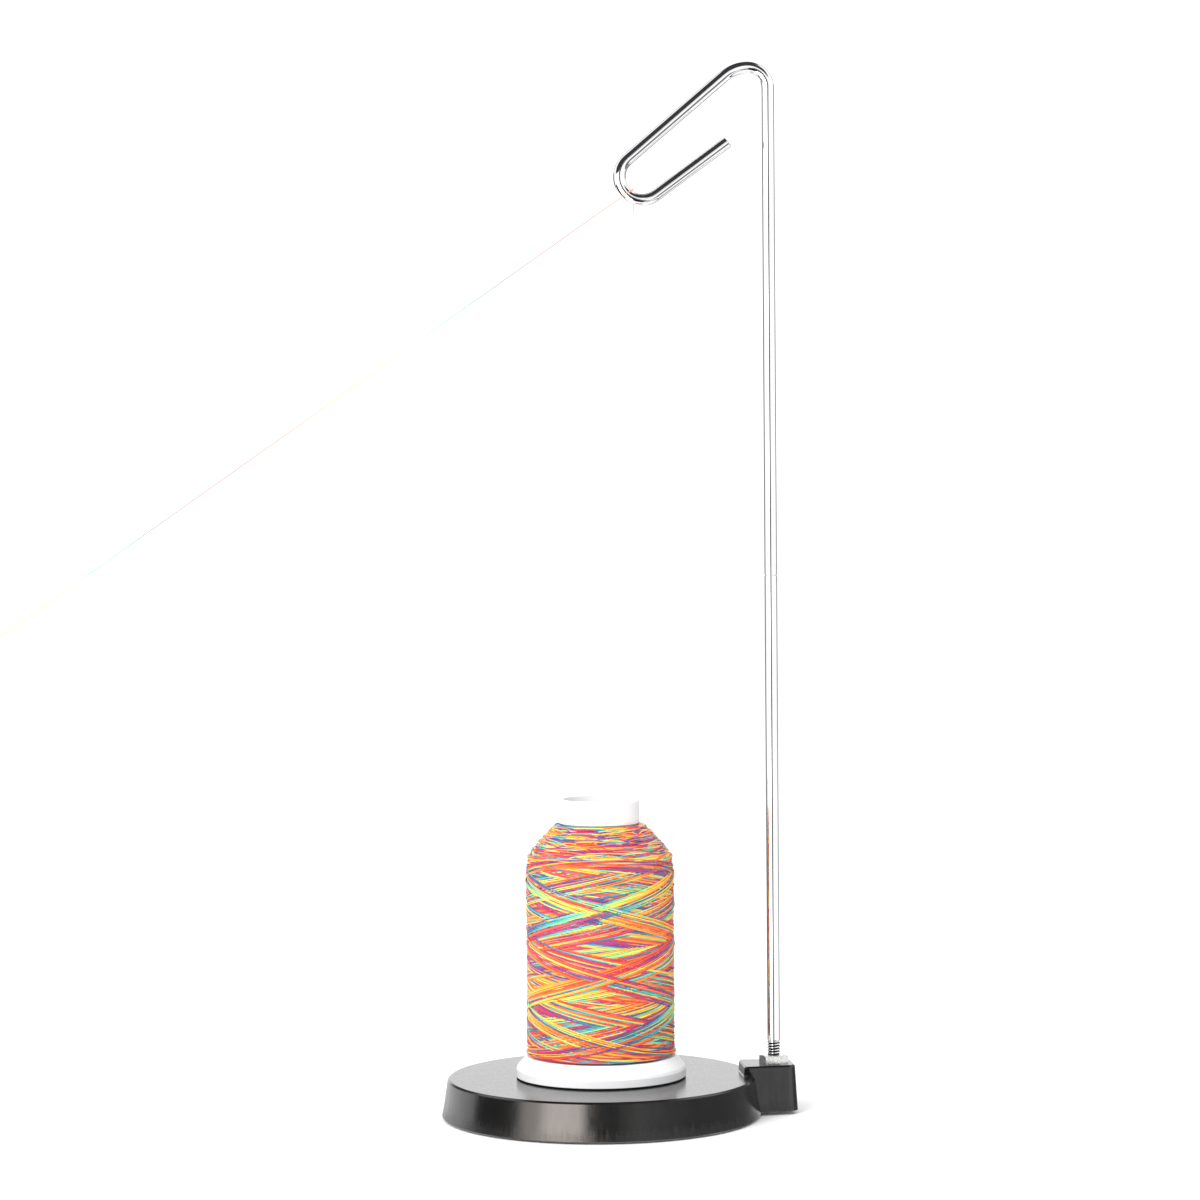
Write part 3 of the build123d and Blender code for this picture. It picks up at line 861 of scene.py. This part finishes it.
def plastic_paint():
    paint = Paint("white_plastic")
    place = paint.place()
    fine = paint.noise(place, 1800.0, 3.0)
    broad = paint.noise(place, 90.0, 2.0)
    colour = paint.ramp(broad, [(0.3, (0.73, 0.735, 0.745, 1)), (0.7, (0.765, 0.77, 0.775, 1))])
    paint.set(Base_Color=colour, Roughness=paint.range(fine, 0.3, 0.7, 0.38, 0.52))
    paint.set(Normal=paint.bump(fine, 0.12, 0.02 * MM))
    paint.shader.inputs["Subsurface Weight"].default_value = 0.12
    paint.shader.inputs["Subsurface Radius"].default_value = (0.002, 0.002, 0.002)
    return paint.material


def felt_paint():
    paint = Paint("dark_felt")
    place = paint.place()
    fibres = paint.noise(paint.stretched(place, (5000, 5000, 9000)), 1.0, 5.0, 0.65)
    colour = paint.ramp(fibres, [(0.3, grey(0.012)), (0.7, grey(0.05))])
    paint.set(Base_Color=colour, Roughness=0.95, Normal=paint.bump(fibres, 0.7, 0.1 * MM))
    paint.shader.inputs["Sheen Weight"].default_value = 0.3
    return paint.material


def foam_paint():
    paint = Paint("pad_foam")
    place = paint.place()
    cells = paint.node("ShaderNodeTexVoronoi", Vector=place, Scale=1500.0).outputs["Distance"]
    colour = paint.ramp(cells, [(0.0, grey(0.008)), (0.6, grey(0.03))])
    paint.set(Base_Color=colour, Roughness=paint.range(cells, 0, 0.6, 0.95, 0.75))
    paint.set(Normal=paint.bump(cells, 0.5, 0.08 * MM))
    return paint.material


FINISHES = {
    "thread": thread_paint("variegated_thread", strand_run),
    "wound": thread_paint("wound_thread", wound_run),
    "rise": thread_paint("rising_thread", strand_run, RISE_LIGHT_WASH, 0.0, TAUT_START),
    "run": thread_paint("led_thread", strand_run, RUN_LIGHT_WASH, 0.0, TAUT_START),
    "enamel": enamel_paint(),
    "zinc": zinc_paint(),
    "chrome": chrome_paint("chrome_plate"),
    "screw": chrome_paint("chrome_screw", screw=True),
    "plastic": plastic_paint(),
    "felt": felt_paint(),
    "foam": foam_paint(),
}
NODE_FINISHES = {
    "base_casting": "enamel",
    "base_pad": "foam",
    "spool_pin": "chrome",
    "guide_rod_lower": "chrome",
    "guide_rod_upper": "chrome",
    "lock_nut": "zinc",
    "spool_felt": "felt",
    "spool_core": "plastic",
}


def finish_with(obj, finish):
    obj.data.materials.clear()
    obj.data.materials.append(FINISHES[finish])


for node, finish in NODE_FINISHES.items():
    finish_with(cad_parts[node], finish)
for piece in free_thread[:2]:
    finish_with(piece, "rise")
for piece in free_thread[2:]:
    finish_with(piece, "run")
for piece in winding_pieces[:-1]:
    finish_with(piece, "thread")
finish_with(winding_pieces[-1], "wound")
finish_with(screw_thread, "screw")


# Floor and light
FLOOR_HALF = 12.0


def make_floor():
    size = FLOOR_HALF
    points = [(-size, -size, 0), (size, -size, 0), (size, size, 0), (-size, size, 0)]
    floor = mesh_object("floor", points, [(0, 1, 2, 3)], smooth=False)
    paint = Paint("pale_floor")
    speck = paint.noise(paint.place(), 40.0, 2.0)
    paint.set(Base_Color=paint.ramp(speck, [(0.3, grey(0.9)), (0.7, grey(0.93))]), Roughness=0.7)
    floor.data.materials.append(paint.material)
    floor.visible_glossy = False


# Studio panels that glossy surfaces mirror in a white room: from and to in degrees round from the
# camera's side, from and to in degrees of height, softness in degrees, colour
PANELS = (
    (-60, -20, -12, 9, 4, (4.5, 4.5, 4.5)),
    (150, 200, 2, 30, 6, (1.6, 1.6, 1.6)),
    (-200, -150, 2, 30, 6, (1.6, 1.6, 1.6)),
    (27, 172, -33, -15, 2, (0.18, 0.18, 0.18)),
    (15, 27, -42, -27, 2, (0.25, 0.23, 0.21)),
    (-112, -67, -48, -14, 2, (0.01, 0.01, 0.01)),
    (-66, -49, -48, -14, 3, (2.8, 2.55, 2.35)),
    (-48, -13, -48, -14, 3, (6.6, 6.0, 5.5)),
    (-12, 15, -52, -14, 2, (0.01, 0.01, 0.01)),
    (-10, 10, -13, 12, 1.5, (0.06, 0.05, 0.045)),
    (118, 160, -13, 12, 3, (0.08, 0.08, 0.09)),
    (-155, -112, -13, 12, 3, (0.08, 0.08, 0.09)),
    (136, 158, 12, 45, 3, (0.12, 0.12, 0.12)),
    (-158, -136, 12, 45, 3, (0.12, 0.12, 0.12)),
    (-200, 200, -50, -44.5, 1.2, (0.06, 0.06, 0.07)),
)
# Dark flags: middle as a direction in the camera's frame, angle from it, softness and least height
# in degrees
FLAGS = (
    ((-0.48, -0.66, 0.57), 40, 3, 11.5),
    ((0.42, -0.62, 0.66), 24, 3, 20),
    ((0, 0, 1), 30, 5, 13),
)
ROOM_LIGHT = 1.12
SURROUND_LIGHT = 1.16
FLAG_LIGHT = (0.04, 0.04, 0.045)
FLAG_FOOT_SOFTNESS = 2
DEGREES = 180 / math.pi


def make_world():
    world = bpy.data.worlds.new("studio")
    bpy.context.scene.world = world
    world.use_nodes = True
    nodes = Nodes(world.node_tree)
    direction = nodes.node("ShaderNodeTexCoord").outputs["Generated"]
    turned = nodes.node("ShaderNodeMapping", Vector=direction)
    turned.inputs["Rotation"].default_value[2] = VIEW_TURN
    turned = turned.outputs["Vector"]
    split = nodes.node("ShaderNodeSeparateXYZ", Vector=turned)
    towards_camera = nodes.math("MULTIPLY", split.outputs["Y"], -1)
    round_angle = nodes.math("ARCTAN2", split.outputs["X"], towards_camera)
    round_angle = nodes.math("MULTIPLY", round_angle, DEGREES)
    height_angle = nodes.math("MULTIPLY", nodes.math("ARCSINE", split.outputs["Z"]), DEGREES)
    colour = (ROOM_LIGHT, ROOM_LIGHT, ROOM_LIGHT, 1)
    for left, right, low, high, soft, panel in PANELS:
        across = nodes.window(round_angle, left, right, soft)
        mask = nodes.math("MULTIPLY", across, nodes.window(height_angle, low, high, soft))
        colour = nodes.mix(mask, colour, (*panel, 1))
    for middle, reach, soft, least in FLAGS:
        unit = Vector(middle).normalized()
        dot = nodes.node("ShaderNodeVectorMath", {"operation": "DOT_PRODUCT"})
        nodes.put(dot.inputs[0], turned)
        dot.inputs[1].default_value = unit
        away = nodes.math("MULTIPLY", nodes.math("ARCCOSINE", dot.outputs["Value"]), DEGREES)
        near = nodes.range(away, reach - soft, reach + soft, 1, 0, smooth=True)
        foot = (least - FLAG_FOOT_SOFTNESS, least + FLAG_FOOT_SOFTNESS)
        above = nodes.range(height_angle, *foot, 0, 1, smooth=True)
        colour = nodes.mix(nodes.math("MULTIPLY", near, above), colour, (*FLAG_LIGHT, 1))
    glossy = nodes.node("ShaderNodeLightPath").outputs["Is Glossy Ray"]
    colour = nodes.mix(glossy, (SURROUND_LIGHT, SURROUND_LIGHT, SURROUND_LIGHT, 1), colour)
    back = nodes.node("ShaderNodeBackground", Color=colour, Strength=1.0)
    output = nodes.node("ShaderNodeOutputWorld")
    nodes.tree.links.new(back.outputs[0], output.inputs["Surface"])


def make_key_light():
    data = bpy.data.lights.new("key", "AREA")
    data.shape = "DISK"
    data.size = KEY_SIZE
    data.energy = KEY_POWER
    key = link(bpy.data.objects.new("key", data))
    turn = Matrix.Rotation(-VIEW_TURN, 3, "Z")
    place = turn @ Vector(KEY_PLACE)
    key.matrix_world = Matrix.Translation(place) @ (
        (Vector(KEY_AIM) - place).to_track_quat("-Z", "Y").to_matrix().to_4x4()
    )
    key.visible_glossy = False


make_floor()
make_world()
make_key_light()
bpy.context.scene.view_settings.view_transform = "Standard"
